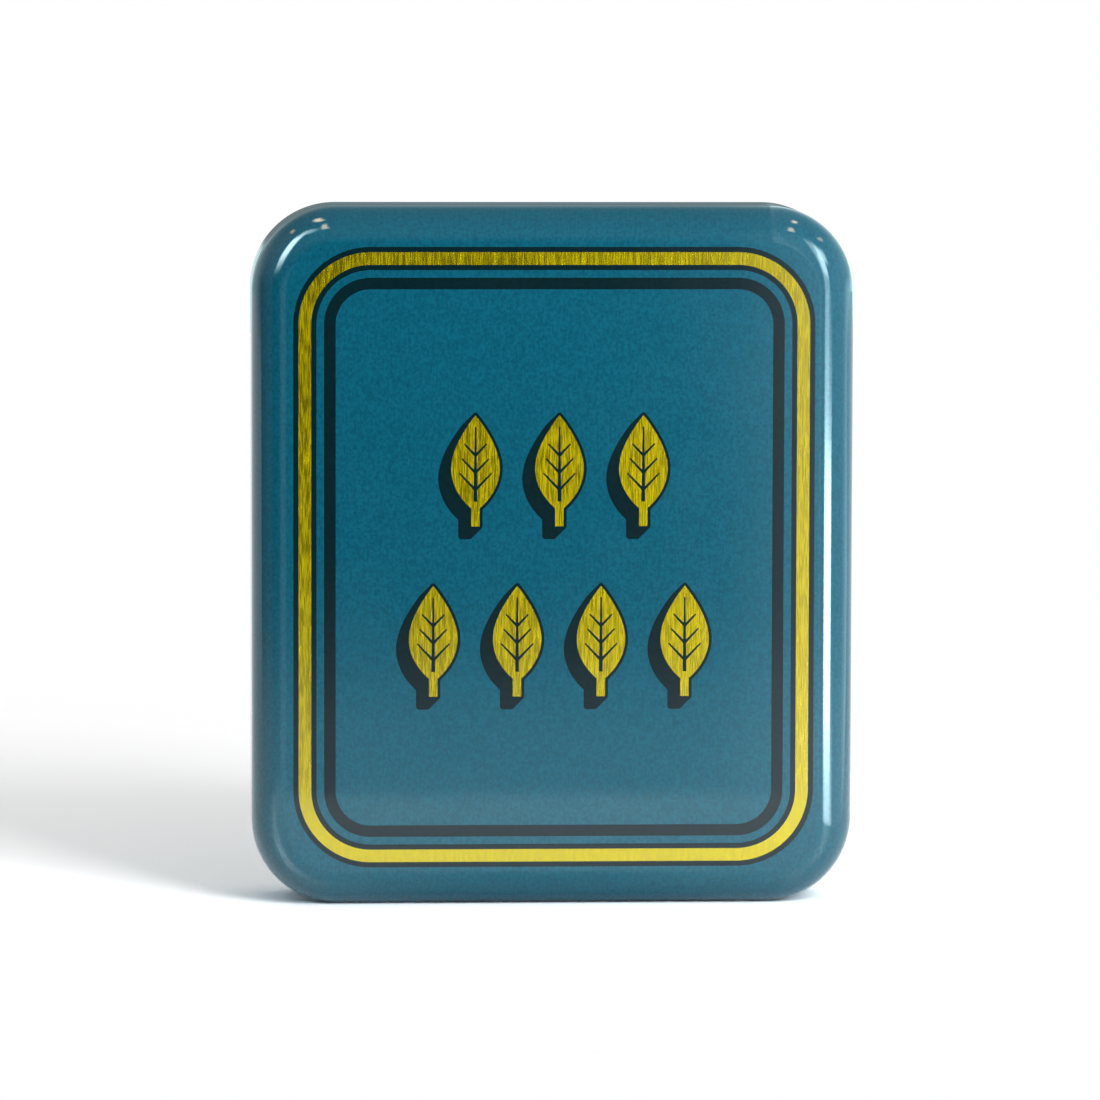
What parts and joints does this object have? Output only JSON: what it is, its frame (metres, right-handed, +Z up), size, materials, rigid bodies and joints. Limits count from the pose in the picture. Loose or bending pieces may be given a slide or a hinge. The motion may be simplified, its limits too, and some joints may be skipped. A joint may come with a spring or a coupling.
{
  "type": "tea tin",
  "caption": "Flat rounded tinplate box for tea that stands on its short side: a lid with a rolled edge shut over a base, printed with a gold and dark border.",
  "frame": {"origin": "middle of the lower side that the tin stands on, at the level of the surface under it", "axes": "+X to the right along the width seen from the front, +Y from the lid's face to the back, +Z up"},
  "size_m": [0.082, 0.023, 0.0952],
  "materials": {
    "lid_print": "teal printed tinplate under a clear gloss varnish, with gold and near-black bands and motif",
    "base_print": "teal printed tinplate under a clear gloss varnish, with gold and near-black bands on the back"
  },
  "bodies": {
    "root": {"lid": "lid_print", "base": "base_print"}
  },
  "joints": []
}
